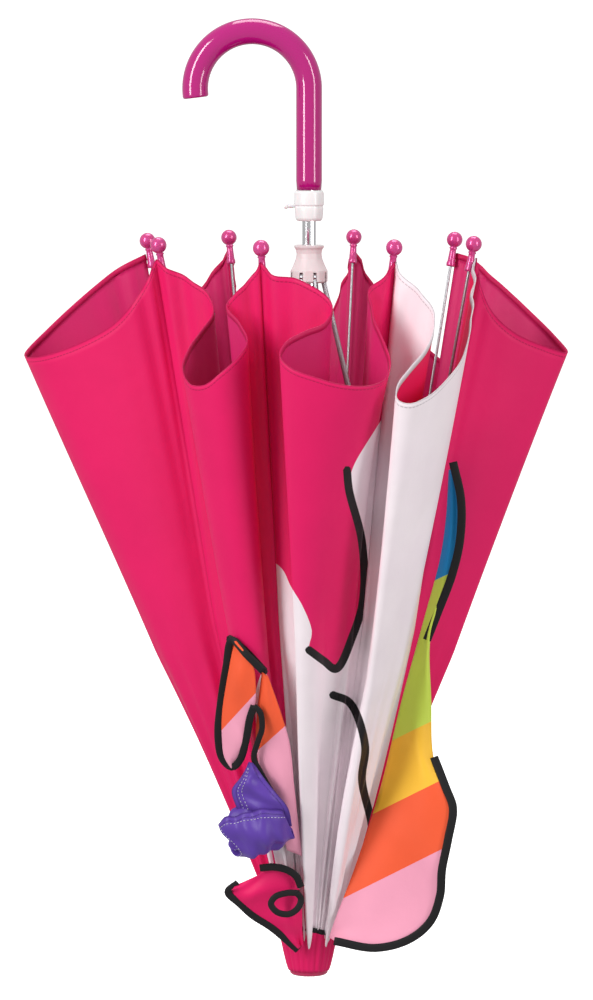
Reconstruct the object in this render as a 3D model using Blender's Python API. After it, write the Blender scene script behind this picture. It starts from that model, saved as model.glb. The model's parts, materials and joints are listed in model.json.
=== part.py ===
"""Children's stick umbrella with eight ribs and a crook handle, hanging loosely closed.

Metres, +Z up. The world's origin is where a peg holds the crook, at the top of its inner side. Below, everything is
placed from the umbrella's own axis: the shaft stands on X = Y = 0, handle up, with the flat end of the tip cap at
Z = 0, and one empty carries it all to the hanging place. The crook opens towards -X. Rib 1 is at the right and
behind, and the ribs count anticlockwise from above.
"""

from math import asin, cos, hypot, pi, radians, sin, sqrt

import bmesh
import bpy
from mathutils import Matrix, Vector

STAND = "hanging_place"  # the empty that everything is parented to

# Driving dimensions
RIB_COUNT = 8
FIRST_RIB_AZIMUTH = radians(29)
ARM = 0.216  # ring pivot to knee on a rib, and knee to runner on a stretcher: equal, so the linkage is exact
RIB_END = 0.234  # knee to the middle of the ball
INNER_TILT = radians(14.4)  # the inner rib's angle from the shaft at rest
OUTER_TILT = radians(10.4)  # the outer rib's
OPEN_TILT = radians(70)  # the inner rib's when the canopy is open
CROWN_RING_Z = 0.018
HANDLE_FOOT_Z = 0.4894
CROOK_CENTRE_Z = 0.5521
CROOK_RADIUS = 0.0351  # of the handle's centreline
CROOK_SWEEP = radians(187)

SHAFT_RADIUS = 0.0042
SHAFT_WALL = 0.0006
SHAFT_IN_HANDLE = 0.040
HANDLE_RADIUS = 0.0080
SLIDE_GAP = 0.00035  # the runner on the shaft
FIT_GAP = 0.0003  # between pieces that touch

RING_RADIUS = 0.0090
RING_WIRE = 0.0006
PLATE = 0.0016  # thickness of the rib and stretcher blades
LAYER_GAP = 0.0003
LAYER = PLATE + LAYER_GAP  # from one blade of a knee to the next
BLADE_HALF_WIDTH = 0.0012
RING_EYE_RADIUS = 0.0023
KNEE_EYE_RADIUS = 0.0026
RING_HOLE_RADIUS = 0.0011
KNEE_HOLE_RADIUS = 0.0011
RIVET_RADIUS = 0.0008
RIVET_HEAD_RADIUS = 0.0015
RIVET_HEAD = 0.0005

HUB_RADIUS = 0.0115
HUB_FLOOR = 0.0032  # below the ring, the solid end of a notched hub
HUB_LIP = 0.0040  # above the ring, the notched end
SLOT_WIDTH = 0.0024
SLOT_ROOT = 0.0060

BALL_RADIUS = 0.0050
SLEEVE_RADIUS = 0.0028
SLEEVE_LENGTH = 0.0170
SLEEVE_DEPTH = 0.0125  # how far the rib goes in

COLLAR_LENGTH = 0.0188
COLLAR_RADIUS = 0.0092
BUTTON_RADIUS = 0.0015
BUTTON_HEAD_RADIUS = 0.0020
BUTTON_REACH = 0.0061  # from the collar's side to the outer face of the button
BUTTON_HEAD = 0.0018
BUTTON_TRAVEL = 0.0025

CAP_RADIUS = 0.0118
CAP_HEIGHT = 0.0034
COVER_RADIUS = 0.0112
COVER_HEIGHT = 0.0016

CATCH_WIDTH = 0.0016
CATCH_HEIGHT = 0.0100
CATCH_TRAVEL = 0.0022

FABRIC = 0.0008
FABRIC_STAND_OFF = 0.0054  # from a rib's centre line out to the fabric
SEAM_GAP = 0.0013  # from a rib's plane to the edge of each gore
HEM_SHORT_OF_BALL = 0.0105
FLARE = 1.2  # above 1, the folds hug the ribs near the tip cap and spread at the hem

# Pivots lie a little inside the ring, because the blades stand beside the rib's plane
PIVOT_RADIUS = sqrt(RING_RADIUS**2 - LAYER**2)
RUNNER_RING_Z = CROWN_RING_Z + 2 * ARM * cos(INNER_TILT)
OPEN_RUNNER_RING_Z = CROWN_RING_Z + 2 * ARM * cos(OPEN_TILT)
RUNNER_TOP = 0.0194  # above its ring

# Each gore's loose fold, as the hem's points between its two ribs: (radius, degrees past its first rib, height)
HEM_FOLDS = (
    ((0.128, 10, 0.410), (0.160, 24, 0.372), (0.122, 37, 0.412)),
    ((0.132, 9, 0.408), (0.162, 22, 0.376), (0.130, 36, 0.408)),
    ((0.126, 9, 0.412), (0.160, 21, 0.374), (0.128, 36, 0.412)),
    ((0.136, 8, 0.418), (0.178, 17, 0.3875), (0.136, 33, 0.412)),
    ((0.136, 15, 0.412), (0.152, 27, 0.372), (0.150, 39, 0.384)),
    ((0.138, 9, 0.405), (0.156, 21, 0.377), (0.164, 32, 0.376)),
    ((0.140, 6, 0.388), (0.156, 14, 0.360), (0.140, 30, 0.378)),
    ((0.132, 8, 0.416), (0.1624, 16, 0.3906), (0.134, 34, 0.416)),
)

# Outlines of the sewn-on flaps, seen from the front: (x, z), anticlockwise, and how far in front of the shaft
# each one's top and bottom stand
MANE_RIGHT = (
    (0.022, 0.030), (0.047, 0.020), (0.068, 0.031), (0.080, 0.047), (0.085, 0.074), (0.091, 0.105),
    (0.083, 0.127), (0.076, 0.174), (0.075, 0.214), (0.089, 0.248), (0.094, 0.279), (0.090, 0.316),
    (0.082, 0.285), (0.073, 0.236), (0.061, 0.174), (0.046, 0.112), (0.032, 0.074),
)
MANE_LEFT = (
    (-0.018, 0.062), (-0.010, 0.090), (-0.012, 0.120), (-0.018, 0.150), (-0.026, 0.182), (-0.047, 0.208),
    (-0.054, 0.175), (-0.057, 0.152), (-0.049, 0.132), (-0.038, 0.140), (-0.030, 0.122), (-0.026, 0.092),
)
HORN = ((-0.052, 0.079), (-0.022, 0.072), (-0.010, 0.096), (-0.030, 0.122), (-0.044, 0.136), (-0.054, 0.104))
EAR = ((-0.050, 0.053), (-0.030, 0.036), (-0.009, 0.022), (-0.006, 0.058), (-0.024, 0.060), (-0.038, 0.070))

MATERIALS = {
    # name: (colour, roughness, metallic)
    "magenta_gloss": ((0.50, 0.01, 0.22), 0.15, 0.0),
    "white_plastic": ((0.85, 0.84, 0.84), 0.35, 0.0),
    "pale_plastic": ((0.78, 0.66, 0.68), 0.40, 0.0),
    "pearl_plastic": ((0.66, 0.06, 0.30), 0.25, 0.0),
    "steel": ((0.72, 0.72, 0.74), 0.18, 1.0),
    "pink_fabric": ((0.83, 0.01, 0.13), 0.65, 0.0),
    "white_fabric": ((0.86, 0.80, 0.84), 0.65, 0.0),
    "rainbow_fabric": ((0.95, 0.45, 0.05), 0.65, 0.0),
    "purple_fabric": ((0.16, 0.07, 0.45), 0.55, 0.0),
}


# Mesh helpers


def material(name):
    made = bpy.data.materials.get(name)
    if made:
        return made
    colour, roughness, metallic = MATERIALS[name]
    made = bpy.data.materials.new(name)
    made.use_nodes = True
    shader = made.node_tree.nodes["Principled BSDF"]
    shader.inputs["Base Color"].default_value = (*colour, 1.0)
    shader.inputs["Roughness"].default_value = roughness
    shader.inputs["Metallic"].default_value = metallic
    return made


def add_object(name, mesh_builder, look, matrix=None):
    """Turns a bmesh into a named object with outward faces, smooth where it is round."""
    bmesh.ops.recalc_face_normals(mesh_builder, faces=mesh_builder.faces)
    mesh = bpy.data.meshes.new(name)
    mesh_builder.to_mesh(mesh)
    mesh_builder.free()
    mesh.materials.append(material(look))
    mesh.shade_smooth()
    mesh.set_sharp_from_angle(angle=radians(35))
    obj = bpy.data.objects.new(name, mesh)
    bpy.context.scene.collection.objects.link(obj)
    if matrix is not None:
        obj.matrix_world = matrix
    obj.parent = bpy.data.objects.get(STAND)
    return obj


def lathe(profile, segments):
    """A closed solid turned about Z from (radius, z) points. A profile that touches the axis starts and ends on it."""
    on_axis = profile[0][0] == 0
    bm = bmesh.new()
    columns = []
    for step in range(segments):
        angle = 2 * pi * step / segments
        ends = profile[1:-1] if on_axis else profile
        columns.append([bm.verts.new((r * cos(angle), r * sin(angle), z)) for r, z in ends])
    first = bm.verts.new((0, 0, profile[0][1])) if on_axis else None
    last = bm.verts.new((0, 0, profile[-1][1])) if on_axis else None
    for here, there in zip(columns, columns[1:] + columns[:1]):
        count = len(here)
        for row in range(count - 1 if on_axis else count):
            following = (row + 1) % count
            bm.faces.new((here[row], there[row], there[following], here[following]))
        if on_axis:
            bm.faces.new((first, there[0], here[0]))
            bm.faces.new((last, here[-1], there[-1]))
    return bm


def torus(major, minor, segments, sides):
    return lathe(
        [(major + minor * cos(2 * pi * s / sides), minor * sin(2 * pi * s / sides)) for s in range(sides)], segments
    )


def circle(centre_x, radius, count):
    return [(centre_x + radius * cos(2 * pi * s / count), radius * sin(2 * pi * s / count)) for s in range(count)]


def blade_outline(length, eye_start, eye_end, half_width, arc_steps=9):
    """The outline of a flat bar along +X from 0 to length. An eye radius of 0 leaves that end square."""

    def eye(centre, radius, facing):
        gap = asin(half_width / radius)
        return [
            (
                centre + radius * cos(facing + gap + (2 * pi - 2 * gap) * s / arc_steps),
                radius * sin(facing + gap + (2 * pi - 2 * gap) * s / arc_steps),
            )
            for s in range(arc_steps + 1)
        ]

    start = eye(0, eye_start, 0)
    end = eye(length, eye_end, pi) if eye_end else [(length, -half_width), (length, half_width)]
    return start + end


def extrude_outline(loops, low, high):
    """A plate between y = low and y = high whose (x, z) outline is the first loop, and whose holes are the others."""
    bm = bmesh.new()
    edges = []
    for loop in loops:
        verts = [bm.verts.new((x, low, z)) for x, z in loop]
        edges += [bm.edges.new(pair) for pair in zip(verts, verts[1:] + verts[:1])]
    bmesh.ops.triangle_fill(bm, use_beauty=True, use_dissolve=False, edges=edges)
    made = bmesh.ops.extrude_face_region(bm, geom=list(bm.faces))
    moved = [v for v in made["geom"] if isinstance(v, bmesh.types.BMVert)]
    bmesh.ops.translate(bm, verts=moved, vec=(0, high - low, 0))
    return bm


def box(low, high):
    bm = bmesh.new()
    made = bmesh.ops.create_cube(bm, size=1)
    centre = [(a + b) / 2 for a, b in zip(low, high)]
    for vert in made["verts"]:
        vert.co = [c + v * (b - a) for c, v, a, b in zip(centre, vert.co, low, high)]
    return bm


def cutter(name, mesh_builder, matrix=None):
    obj = add_object(name, mesh_builder, "steel", matrix)
    obj.hide_render = True
    obj.display_type = "WIRE"
    return obj


def boolean(obj, other, operation="DIFFERENCE"):
    modifier = obj.modifiers.new(operation.lower(), "BOOLEAN")
    modifier.operation = operation
    modifier.solver = "EXACT"
    modifier.object = other


def joined(builders):
    """One bmesh holding several closed shapes that don't touch."""
    whole = bmesh.new()
    for builder in builders:
        mesh = bpy.data.meshes.new("part_of_cutter")
        builder.to_mesh(mesh)
        builder.free()
        whole.from_mesh(mesh)
        bpy.data.meshes.remove(mesh)
    return whole


# Places


def rib_azimuth(index):
    return FIRST_RIB_AZIMUTH + 2 * pi * index / RIB_COUNT


def in_rib_plane(index, radius, height, tilt_from_shaft):
    """A frame whose X runs along a blade that leaves (radius, height) at this tilt, and whose Y is along the pivots."""
    turn = Matrix.Rotation(rib_azimuth(index), 4, "Z")
    lean = Matrix.Rotation(tilt_from_shaft - pi / 2, 4, "Y")
    return turn @ Matrix.Translation((radius, 0, height)) @ lean


def knee():
    return PIVOT_RADIUS + ARM * sin(INNER_TILT), CROWN_RING_Z + ARM * cos(INNER_TILT)


def along_outer(distance):
    radius, height = knee()
    return radius + distance * sin(OUTER_TILT), height + distance * cos(OUTER_TILT)


# Shaft, handle and fixed fittings


def make_shaft():
    inner = SHAFT_RADIUS - SHAFT_WALL
    top = HANDLE_FOOT_Z + SHAFT_IN_HANDLE
    foot = CAP_HEIGHT + FIT_GAP
    profile = [(inner, foot), (SHAFT_RADIUS, foot), (SHAFT_RADIUS, top), (inner, top)]
    shaft = add_object("shaft", lathe(profile, 20), "steel")
    low, high = catch_span()
    window = box(
        (-SHAFT_RADIUS - SHAFT_WALL, -CATCH_WIDTH / 2 - FIT_GAP, low - FIT_GAP),
        (-inner + SHAFT_WALL, CATCH_WIDTH / 2 + FIT_GAP, high + FIT_GAP),
    )
    boolean(shaft, cutter("shaft_window_cutter", window))


def make_handle():
    """A solid rod swept up the shaft's axis and round the crook, with a blind bore for the shaft."""
    sides, straight_rows, crook_rows = 16, 3, 18
    path = [(Vector((0, 0, HANDLE_FOOT_Z + FIT_GAP)), 0.0)]
    length = CROOK_CENTRE_Z - path[0][0].z
    path += [(Vector((0, 0, path[0][0].z + length * s / straight_rows)), 0.0) for s in range(1, straight_rows)]
    for step in range(crook_rows + 1):
        angle = CROOK_SWEEP * step / crook_rows
        centre = Vector((CROOK_RADIUS * (cos(angle) - 1), 0, CROOK_CENTRE_Z + CROOK_RADIUS * sin(angle)))
        path.append((centre, angle))
    bm = bmesh.new()
    rings = []

    def ring(centre, angle, radius):
        across = Vector((cos(angle), 0, sin(angle)))
        turns = [2 * pi * s / sides for s in range(sides)]
        rings.append([bm.verts.new(centre + radius * (across * cos(t) + Vector((0, sin(t), 0)))) for t in turns])

    for centre, angle in path:
        ring(centre, angle, HANDLE_RADIUS)
    centre, angle = path[-1]
    forward = Vector((-sin(angle), 0, cos(angle)))
    rounding = 0.0015
    ring(centre + forward * rounding * 0.7, angle, HANDLE_RADIUS - rounding * 0.3)
    ring(centre + forward * rounding, angle, HANDLE_RADIUS - rounding)
    for here, there in zip(rings, rings[1:]):
        for side in range(sides):
            after = (side + 1) % sides
            bm.faces.new((here[side], here[after], there[after], there[side]))
    bm.faces.new(rings[0][::-1])
    bm.faces.new(rings[-1])
    handle = add_object("crook_handle", bm, "magenta_gloss")
    bore_top = HANDLE_FOOT_Z + SHAFT_IN_HANDLE + FIT_GAP
    bore_radius = SHAFT_RADIUS + FIT_GAP
    below = HANDLE_FOOT_Z - COLLAR_LENGTH
    bore = lathe([(0, below), (bore_radius, below), (bore_radius, bore_top), (0, bore_top)], 20)
    boolean(handle, cutter("handle_bore_cutter", bore))


def make_collar():
    foot = HANDLE_FOOT_Z - COLLAR_LENGTH
    bore = SHAFT_RADIUS + FIT_GAP
    profile = [
        (bore, foot), (COLLAR_RADIUS - 0.0018, foot), (COLLAR_RADIUS - 0.0008, foot + 0.0012),
        (COLLAR_RADIUS, HANDLE_FOOT_Z - 0.0060), (COLLAR_RADIUS, HANDLE_FOOT_Z - 0.0012),
        (COLLAR_RADIUS - 0.0008, HANDLE_FOOT_Z), (bore, HANDLE_FOOT_Z),
    ]
    collar = add_object("collar", lathe(profile, 28), "white_plastic")
    hole_radius = BUTTON_RADIUS + FIT_GAP
    hole = lathe([(0, 0), (hole_radius, 0), (hole_radius, COLLAR_RADIUS), (0, COLLAR_RADIUS)], 14)
    boolean(collar, cutter("button_hole_cutter", hole, button_frame(COLLAR_RADIUS + 0.002)))


def button_height():
    return HANDLE_FOOT_Z - COLLAR_LENGTH / 2


def button_frame(distance):
    """A frame at this distance to the left of the shaft, whose Z points at it."""
    return Matrix.Translation((-distance, 0, button_height())) @ Matrix.Rotation(pi / 2, 4, "Y")


def make_button():
    reach = COLLAR_RADIUS + BUTTON_REACH
    shank_end = reach - (SHAFT_RADIUS + FIT_GAP + BUTTON_TRAVEL + FIT_GAP)
    profile = [
        (0, 0), (BUTTON_HEAD_RADIUS - 0.0004, 0), (BUTTON_HEAD_RADIUS, 0.0004), (BUTTON_HEAD_RADIUS, BUTTON_HEAD),
        (BUTTON_RADIUS, BUTTON_HEAD), (BUTTON_RADIUS, shank_end), (0, shank_end),
    ]
    add_object("release_button", lathe(profile, 14), "white_plastic", button_frame(reach))


def notched_hub_cutter(name, side, offset, place):
    """The eight blades' slots in a hub. side is 1 where the notched end is up, and -1 where it is down."""
    low, high = sorted((-side * (RING_EYE_RADIUS + FIT_GAP), side * (HUB_LIP + 0.001)))
    slots = []
    for index in range(RIB_COUNT):
        slot = box((SLOT_ROOT, offset - SLOT_WIDTH / 2, low), (HUB_RADIUS + 0.004, offset + SLOT_WIDTH / 2, high))
        bmesh.ops.rotate(slot, verts=slot.verts, cent=(0, 0, 0), matrix=Matrix.Rotation(rib_azimuth(index), 3, "Z"))
        slots.append(slot)
    return cutter(name + "_slot_cutter", joined(slots), place)


def groove_profile(side):
    """The open groove that the ring lies in, from its floor to the notched face, as (radius, height above ring)."""
    half = RING_WIRE + FIT_GAP
    return [(RING_RADIUS - half, side * HUB_LIP), (RING_RADIUS - half, -side * half),
            (RING_RADIUS + half, -side * half), (RING_RADIUS + half, side * HUB_LIP)]


def make_crown():
    """The notched hub at the tip end, open upwards, and the wire ring that the eight ribs hinge on."""
    bore = SHAFT_RADIUS + FIT_GAP
    profile = [(bore, HUB_LIP), *groove_profile(1), (HUB_RADIUS, HUB_LIP), (HUB_RADIUS, -HUB_FLOOR - 0.002),
               (HUB_RADIUS - 0.001, -HUB_FLOOR - 0.003), (bore, -HUB_FLOOR - 0.003)]
    place = Matrix.Translation((0, 0, CROWN_RING_Z))
    crown = add_object("crown_hub", lathe(profile, 32), "white_plastic", place)
    boolean(crown, notched_hub_cutter("crown", 1, LAYER, place))
    add_object("crown_ring", torus(RING_RADIUS, RING_WIRE, 32, 6), "steel", place)


def make_runner():
    """The waisted sleeve that slides on the shaft, with a notched foot, and its own wire ring."""
    bore = SHAFT_RADIUS + SLIDE_GAP
    outside = [
        (0.0102, -HUB_LIP), (HUB_RADIUS, -HUB_LIP + 0.001), (HUB_RADIUS, 0.0035), (0.0098, 0.0070),
        (0.0082, 0.0110), (0.00775, 0.0140), (0.0082, 0.0165), (0.0092, 0.0178), (0.0094, RUNNER_TOP - 0.0006),
        (0.0088, RUNNER_TOP),
    ]
    profile = [(bore, -HUB_LIP), *groove_profile(-1), *outside, (bore, RUNNER_TOP)]
    place = Matrix.Translation((0, 0, RUNNER_RING_Z))
    runner = add_object("runner", lathe(profile, 32), "pale_plastic", place)
    boolean(runner, notched_hub_cutter("runner", -1, -LAYER, place))
    add_object("runner_ring", torus(RING_RADIUS, RING_WIRE, 32, 6), "steel", place)


def make_tip_cap():
    profile = [
        (0, 0), (CAP_RADIUS - 0.0012, 0), (CAP_RADIUS, 0.0010), (CAP_RADIUS, CAP_HEIGHT), (0, CAP_HEIGHT),
    ]
    add_object("tip_cap", lathe(profile, 28), "magenta_gloss")
    bore = SHAFT_RADIUS + FIT_GAP
    foot = CAP_HEIGHT + FIT_GAP
    ring = [(bore, foot), (COVER_RADIUS, foot), (COVER_RADIUS, foot + COVER_HEIGHT), (bore, foot + COVER_HEIGHT)]
    add_object("canopy_washer", lathe(ring, 24), "pink_fabric")


def catch_span():
    """The open catch's lowest and highest z: just above the runner's top when the canopy is open."""
    low = OPEN_RUNNER_RING_Z + RUNNER_TOP + 0.0005
    return low, low + CATCH_HEIGHT


def make_open_catch():
    """The tongue that slides out of the shaft's window and holds the runner open."""
    low, _ = catch_span()
    outside = SHAFT_RADIUS - 0.0001
    slope_top = SHAFT_RADIUS - SHAFT_WALL - 0.0004
    inside = -0.0012
    outline = [(-outside, 0), (-inside, 0), (-inside, CATCH_HEIGHT), (-slope_top, CATCH_HEIGHT)]
    catch = extrude_outline([outline], -CATCH_WIDTH / 2, CATCH_WIDTH / 2)
    add_object("open_catch", catch, "steel", Matrix.Translation((0, 0, low)))


# Ribs


def make_ribs():
    for index in range(RIB_COUNT):
        number = index + 1
        make_inner_rib(index, f"rib_inner_{number}")
        make_stretcher(index, f"stretcher_{number}")
        make_outer_rib(index, f"rib_outer_{number}")
        make_ball_tip(index, f"ball_tip_{number}")


def make_inner_rib(index, name):
    outline = blade_outline(ARM, RING_EYE_RADIUS, KNEE_EYE_RADIUS, BLADE_HALF_WIDTH)
    holes = [circle(0, RING_HOLE_RADIUS, 8), circle(ARM, KNEE_HOLE_RADIUS, 8)]
    blade = extrude_outline([outline, *holes], LAYER - PLATE / 2, LAYER + PLATE / 2)
    add_object(name, blade, "steel", in_rib_plane(index, PIVOT_RADIUS, CROWN_RING_Z, INNER_TILT))


def make_stretcher(index, name):
    outline = blade_outline(ARM, RING_EYE_RADIUS, KNEE_EYE_RADIUS, BLADE_HALF_WIDTH)
    holes = [circle(0, RING_HOLE_RADIUS, 8), circle(ARM, KNEE_HOLE_RADIUS, 8)]
    blade = extrude_outline([outline, *holes], -LAYER - PLATE / 2, -LAYER + PLATE / 2)
    add_object(name, blade, "steel", in_rib_plane(index, PIVOT_RADIUS, RUNNER_RING_Z, pi - INNER_TILT))


def make_outer_rib(index, name):
    """The outer rib with the knee's rivet, which the inner rib and the stretcher turn on."""
    length = RIB_END - SLEEVE_LENGTH + SLEEVE_DEPTH
    outline = blade_outline(length, KNEE_EYE_RADIUS, 0, BLADE_HALF_WIDTH)
    place = in_rib_plane(index, *knee(), OUTER_TILT)
    rib = add_object(name, extrude_outline([outline], -PLATE / 2, PLATE / 2), "steel", place)
    shank = LAYER + PLATE / 2 + FIT_GAP
    end = shank + RIVET_HEAD
    profile = [(0, -end), (RIVET_HEAD_RADIUS, -end), (RIVET_HEAD_RADIUS, -shank), (RIVET_RADIUS, -shank),
               (RIVET_RADIUS, shank), (RIVET_HEAD_RADIUS, shank), (RIVET_HEAD_RADIUS, end), (0, end)]
    rivet = cutter(name + "_rivet", lathe(profile, 8), place @ Matrix.Rotation(pi / 2, 4, "X"))
    boolean(rib, rivet, "UNION")


def make_ball_tip(index, name):
    """A ball on a sleeve, with a blind bore that the rib's end goes into."""
    neck = 0.0022
    start = asin(neck / BALL_RADIUS)
    ball = [(BALL_RADIUS * sin(a), BALL_RADIUS * cos(a)) for a in (start + (pi - start) * s / 8 for s in range(9))]
    bore = hypot(BLADE_HALF_WIDTH, PLATE / 2) + FIT_GAP
    floor = -SLEEVE_LENGTH + SLEEVE_DEPTH + FIT_GAP
    profile = [(0, floor), (bore, floor), (bore, -SLEEVE_LENGTH), (SLEEVE_RADIUS, -SLEEVE_LENGTH),
               (SLEEVE_RADIUS - 0.0004, -SLEEVE_LENGTH + 0.006)]
    profile += [(r, -z) for r, z in ball[:-1]] + [(0, BALL_RADIUS)]
    along = in_rib_plane(index, *along_outer(RIB_END), OUTER_TILT) @ Matrix.Rotation(pi / 2, 4, "Y")
    add_object(name, lathe(profile, 12), "pearl_plastic", along)


# Canopy


def fabric_line(share):
    """(radius, height) of the canopy's seam over a rib, from the tip cap (0) to the hem (1)."""
    knee_radius, knee_height = knee()
    end_radius, end_height = along_outer(RIB_END - HEM_SHORT_OF_BALL)
    stand_off = FABRIC_STAND_OFF
    points = [
        (0.0, 0.0130, 0.0045),
        (0.03, 0.0155, CROWN_RING_Z),
        (0.5, knee_radius + stand_off, knee_height),
        (1.0, end_radius + stand_off, end_height),
    ]
    for (a, ra, za), (b, rb, zb) in zip(points, points[1:]):
        if share <= b:
            part = (share - a) / (b - a)
            return ra + (rb - ra) * part, za + (zb - za) * part
    return points[-1][1:]


def polar(radius, azimuth, height):
    return Vector((radius * cos(azimuth), radius * sin(azimuth), height))


def seam_point(index, share, side):
    """On the seam over a rib, a little to one side of the rib's plane."""
    radius, height = fabric_line(share)
    azimuth = rib_azimuth(index)
    across = Vector((-sin(azimuth), cos(azimuth), 0))
    return polar(radius, azimuth, height) + across * SEAM_GAP * side


def smooth_through(points, share):
    """A Catmull-Rom curve through the points, from the first (0) to the last (1)."""
    count = len(points) - 1
    piece = min(int(share * count), count - 1)
    t = share * count - piece
    before, a, b, after = (points[min(max(piece + k, 0), count)] for k in (-1, 0, 1, 2))
    return 0.5 * (2 * a + (b - before) * t + (2 * before - 5 * a + 4 * b - after) * t**2
                  + (3 * a - before - 3 * b + after) * t**3)


def gore_point(index, across, along):
    """A point of gore index, across from its first rib (0) to its second (1), along from tip cap to hem."""
    first = seam_point(index, 1, 1)
    second = seam_point(index + 1, 1, -1)
    folds = [polar(r, rib_azimuth(index) + radians(past), z) for r, past, z in HEM_FOLDS[index]]
    hem = smooth_through([first, *folds, second], across)
    straight_hem = first.lerp(second, across)
    straight = seam_point(index, along, 1).lerp(seam_point(index + 1, along, -1), across)
    return straight + (hem - straight_hem) * along**FLARE


def add_fabric(name, mesh_builder, look):
    """A canopy piece, with its origin on the crown's axis, which the gores swing about."""
    bmesh.ops.translate(mesh_builder, verts=mesh_builder.verts, vec=(0, 0, -CROWN_RING_Z))
    return add_object(name, mesh_builder, look, Matrix.Translation((0, 0, CROWN_RING_Z)))


def make_gore(index):
    columns, rows = 8, 6
    bm = bmesh.new()
    shares = [(row / rows) ** 1.3 for row in range(rows + 1)]
    grid = [[bm.verts.new(gore_point(index, c / columns, share)) for c in range(columns + 1)] for share in shares]
    for low, high in zip(grid, grid[1:]):
        for a, b, c, d in zip(low, low[1:], high[1:], high):
            bm.faces.new((a, b, c, d))
    bmesh.ops.triangulate(bm, faces=bm.faces)
    white = index == 6
    gore = add_fabric(f"gore_{index + 1}", bm, "white_fabric" if white else "pink_fabric")
    solid = gore.modifiers.new("fabric", "SOLIDIFY")
    solid.thickness = FABRIC
    solid.offset = 0


def make_flap(name, outline, top_front, bottom_front, look):
    """A flat flap facing the front. top_front and bottom_front are how far in front of the shaft its ends stand."""
    low = min(z for _, z in outline)
    high = max(z for _, z in outline)
    bm = extrude_outline([list(outline)], -FABRIC / 2, FABRIC / 2)
    for vert in bm.verts:
        share = (vert.co.z - low) / (high - low)
        vert.co.y -= bottom_front + (top_front - bottom_front) * share
    add_fabric(name, bm, look)


def make_canopy():
    for index in range(RIB_COUNT):
        make_gore(index)
    make_flap("mane_flap_right", MANE_RIGHT, 0.128, 0.040, "rainbow_fabric")
    make_flap("mane_flap_left", MANE_LEFT, 0.110, 0.062, "rainbow_fabric")
    make_flap("horn_flap", HORN, 0.090, 0.075, "purple_fabric")
    make_flap("ear_flap", EAR, 0.058, 0.044, "rainbow_fabric")


def main():
    for obj in list(bpy.data.objects):
        bpy.data.objects.remove(obj)
    stand = bpy.data.objects.new(STAND, None)
    stand.location = (CROOK_RADIUS, 0, -(CROOK_CENTRE_Z + CROOK_RADIUS - HANDLE_RADIUS))
    bpy.context.scene.collection.objects.link(stand)
    make_shaft()
    make_handle()
    make_collar()
    make_button()
    make_crown()
    make_runner()
    make_tip_cap()
    make_open_catch()
    make_ribs()
    make_canopy()


main()
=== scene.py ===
"""Looks of the children's stick umbrella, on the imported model's bodies.

Metres, +Z up. Shapes are worked out about the umbrella's own axis, with the flat end of the tip cap at Z = 0 and the
front towards -Y, and placed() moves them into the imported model's frame.
"""

import json

from math import cos, pi, radians, sin, sqrt

import bpy
import numpy as np
from mathutils import Matrix, Vector

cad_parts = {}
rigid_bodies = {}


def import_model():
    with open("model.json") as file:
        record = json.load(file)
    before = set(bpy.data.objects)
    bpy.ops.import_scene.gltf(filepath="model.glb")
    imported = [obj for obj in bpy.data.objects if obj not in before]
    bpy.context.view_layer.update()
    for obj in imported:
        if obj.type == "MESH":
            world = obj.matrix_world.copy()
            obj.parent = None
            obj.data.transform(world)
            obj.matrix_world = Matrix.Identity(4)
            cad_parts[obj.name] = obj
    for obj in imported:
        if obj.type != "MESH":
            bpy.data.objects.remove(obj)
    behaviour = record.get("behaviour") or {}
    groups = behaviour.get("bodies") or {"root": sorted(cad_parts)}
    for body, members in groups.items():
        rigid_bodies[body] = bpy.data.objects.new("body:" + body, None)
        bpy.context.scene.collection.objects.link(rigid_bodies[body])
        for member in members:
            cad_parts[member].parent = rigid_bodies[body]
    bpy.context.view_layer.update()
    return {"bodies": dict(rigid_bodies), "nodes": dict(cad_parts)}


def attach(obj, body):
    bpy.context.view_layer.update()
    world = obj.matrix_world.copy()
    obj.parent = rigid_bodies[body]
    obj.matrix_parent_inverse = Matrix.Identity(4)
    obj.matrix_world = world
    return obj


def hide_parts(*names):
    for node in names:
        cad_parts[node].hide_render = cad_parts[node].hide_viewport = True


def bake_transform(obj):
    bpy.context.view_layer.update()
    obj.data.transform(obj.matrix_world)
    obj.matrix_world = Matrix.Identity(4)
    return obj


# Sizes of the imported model
RIB_COUNT = 8
FIRST_RIB_AZIMUTH = radians(29)
ARM = 0.216
RIB_END = 0.234
INNER_TILT = radians(14.4)
OUTER_TILT = radians(10.4)
CROWN_RING_Z = 0.018
HANDLE_FOOT_Z = 0.4894
CROOK_CENTRE_Z = 0.5521
CROOK_RADIUS = 0.0351
CROOK_SWEEP = radians(187)
HANDLE_RADIUS = 0.0080
LAYER = 0.0019  # between a rib's plane and its stretcher's
RING_RADIUS = 0.0090
PIVOT_RADIUS = sqrt(RING_RADIUS**2 - LAYER**2)
BALL_RADIUS = 0.0050
SLEEVE_RADIUS = 0.0028
SLEEVE_LENGTH = 0.0170
COLLAR_LENGTH = 0.0188
COLLAR_RADIUS = 0.0092
KNEE_STAND_OFF = 0.0044  # of the cloth from a rib's centre line
TIP_STAND_OFF = 0.0033
HEM_SHORT_OF_BALL = 0.0085
FLEX_RATIO = -0.61151  # of a rib's bend at its knee to its swing
ORIGIN = Vector((CROOK_RADIUS, 0, -(CROOK_CENTRE_Z + CROOK_RADIUS - HANDLE_RADIUS)))

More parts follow.
